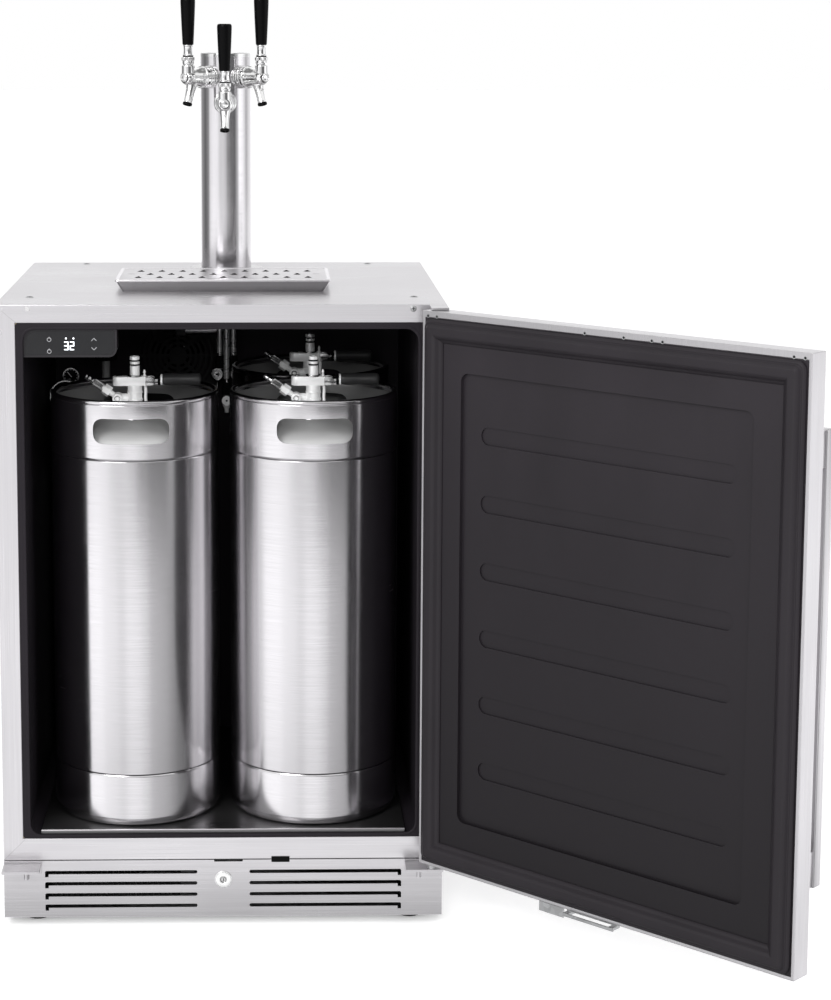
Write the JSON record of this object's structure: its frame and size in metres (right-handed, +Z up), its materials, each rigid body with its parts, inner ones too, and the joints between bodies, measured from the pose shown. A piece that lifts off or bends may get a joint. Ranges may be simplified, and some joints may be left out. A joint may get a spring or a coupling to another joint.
{
  "type": "kegerator",
  "caption": "Under-counter draught beer refrigerator with an open hinged door, kegs with couplers inside, a tap tower, drip tray and louvred base.",
  "frame": {"origin": "on the floor, under the centre of the cabinet's footprint, in the middle of the four feet", "axes": "+Z up, -Y out of the door side, +X towards the hinge side"},
  "size_m": [1.0439, 1.0204, 1.277],
  "materials": {
    "stainless": "satin",
    "galvanised": "satin",
    "chrome": "polished",
    "dark_liner": "matte",
    "black_plastic": "gloss",
    "display": "gloss",
    "foam": "matte",
    "seal": "matte",
    "hose": "satin",
    "aluminium": "satin",
    "black_paint": "satin",
    "brass": "satin"
  },
  "bodies": {
    "root": {"top_panel": "stainless", "side_panels": "stainless", "back_panel": "galvanised", "base_pan": "galvanised", "face_frame": "stainless", "insulation_foam": "foam", "inner_liner": "dark_liner", "keg_floor_plate": "stainless", "toe_grille": "stainless", "cabinet_screws": "galvanised", "levelling_feet": "black_plastic", "hinge_brackets": "stainless", "hinge_pins": "galvanised", "lock_body": "chrome", "door_sensor": "black_plastic", "control_panel": "dark_liner", "control_screen": "display", "tower_tube": "stainless", "tower_flange": "stainless", "tower_cap": "stainless", "tap_shanks": "chrome", "tap_bodies": "chrome", "beer_lines": "hose", "tower_duct": "aluminium", "evaporator_cover": "dark_liner", "evaporator_coil": "aluminium", "compressor": "black_paint", "condenser_coil": "black_paint", "gas_cylinder": "aluminium", "gas_regulator": "brass", "keg_rear_right": "stainless", "coupler_rear_right": "chrome"},
    "door": {"door_skin": "stainless", "door_foam": "foam", "door_liner": "dark_liner", "door_gasket": "seal", "door_handle": "stainless", "door_fittings": "galvanised"},
    "lock_plug": {"lock_cylinder": "chrome"},
    "tap_left": {"tap_lever_left": "chrome", "tap_handle_left": "black_plastic"},
    "tap_centre": {"tap_lever_centre": "chrome", "tap_handle_centre": "black_plastic"},
    "tap_right": {"tap_lever_right": "chrome", "tap_handle_right": "black_plastic"},
    "keg_left": {"keg_front_left": "stainless", "coupler_front_left": "chrome"},
    "keg_right": {"keg_front_right": "stainless", "coupler_front_right": "chrome"},
    "coupler_lever_left": {"coupler_lever_front_left": "black_plastic"},
    "coupler_probe_left": {"coupler_probe_front_left": "chrome"},
    "coupler_lever_right": {"coupler_lever_front_right": "black_plastic"},
    "coupler_probe_right": {"coupler_probe_front_right": "chrome"},
    "coupler_lever_rear": {"coupler_lever_rear_right": "black_plastic"},
    "coupler_probe_rear": {"coupler_probe_rear_right": "chrome"},
    "evaporator_fan": {"evaporator_fan": "black_plastic"},
    "condenser_fan": {"condenser_fan": "black_plastic"},
    "gas_wheel": {"gas_valve_wheel": "black_plastic"},
    "tray": {"drip_tray": "stainless"},
    "grille": {"drip_grille": "stainless"}
  },
  "joints": [
    {"name": "door_hinge", "type": "hinge", "parent": "root", "child": "door", "pos_m": [0.288, -0.3125, 0.48], "axis": [0, 0, 1], "range_deg": [-135.3, 0]},
    {"name": "lock_turn", "type": "hinge", "parent": "root", "child": "lock_plug", "pos_m": [0, -0.2825, 0.066], "axis": [0, 1, 0], "range_deg": [0, 90]},
    {"name": "tap_left_tilt", "type": "hinge", "parent": "root", "child": "tap_left", "pos_m": [-0.05418, 0.10315, 1.182], "axis": [0.788, -0.6157, 0], "range_deg": [0, 35]},
    {"name": "tap_centre_tilt", "type": "hinge", "parent": "root", "child": "tap_centre", "pos_m": [0, 0.0845, 1.144], "axis": [1, 0, 0], "range_deg": [0, 35]},
    {"name": "tap_right_tilt", "type": "hinge", "parent": "root", "child": "tap_right", "pos_m": [0.05418, 0.10315, 1.182], "axis": [0.788, 0.6157, 0], "range_deg": [0, 35]},
    {"name": "keg_left_slide", "type": "slide", "parent": "root", "child": "keg_left", "axis": [0, -1, 0], "range_m": [0, 0.3]},
    {"name": "keg_right_slide", "type": "slide", "parent": "root", "child": "keg_right", "axis": [0, -1, 0], "range_m": [0, 0.3]},
    {"name": "coupler_left_lever", "type": "hinge", "parent": "keg_left", "child": "coupler_lever_left", "pos_m": [-0.1005, -0.1465, 0.744], "axis": [0, -1, 0], "range_deg": [0, 60]},
    {"name": "coupler_left_probe", "type": "slide", "parent": "keg_left", "child": "coupler_probe_left", "axis": [0, 0, 1], "range_m": [0, 0.015]},
    {"name": "coupler_right_lever", "type": "hinge", "parent": "keg_right", "child": "coupler_lever_right", "pos_m": [0.1495, -0.1465, 0.744], "axis": [0, -1, 0], "range_deg": [0, 60]},
    {"name": "coupler_right_probe", "type": "slide", "parent": "keg_right", "child": "coupler_probe_right", "axis": [0, 0, 1], "range_m": [0, 0.015]},
    {"name": "coupler_rear_lever", "type": "hinge", "parent": "root", "child": "coupler_lever_rear", "pos_m": [0.1495, 0.0935, 0.744], "axis": [0, -1, 0], "range_deg": [0, 60]},
    {"name": "coupler_rear_probe", "type": "slide", "parent": "root", "child": "coupler_probe_rear", "axis": [0, 0, 1], "range_m": [0, 0.015]},
    {"name": "evaporator_fan_spin", "type": "hinge", "parent": "root", "child": "evaporator_fan", "pos_m": [-0.075, 0.196, 0.733], "axis": [0, 1, 0], "continuous": true},
    {"name": "condenser_fan_spin", "type": "hinge", "parent": "root", "child": "condenser_fan", "pos_m": [-0.15, -0.198, 0.054], "axis": [0, 1, 0], "continuous": true},
    {"name": "gas_valve_turn", "type": "hinge", "parent": "root", "child": "gas_wheel", "pos_m": [-0.18, 0.0975, 0.746], "axis": [0, 0, 1], "range_deg": [0, 360]},
    {"name": "drip_tray_lift", "type": "slide", "parent": "root", "child": "tray", "axis": [0, 0, 1], "range_m": [0, 0.1]},
    {"name": "drip_grille_lift", "type": "slide", "parent": "tray", "child": "grille", "axis": [0, 0, 1], "range_m": [0, 0.05]}
  ],
  "couplings": [
    {"joint": "coupler_left_probe", "follows": "coupler_left_lever", "m_per_rad": 0.0143},
    {"joint": "coupler_right_probe", "follows": "coupler_right_lever", "m_per_rad": 0.0143},
    {"joint": "coupler_rear_probe", "follows": "coupler_rear_lever", "m_per_rad": 0.0143}
  ]
}
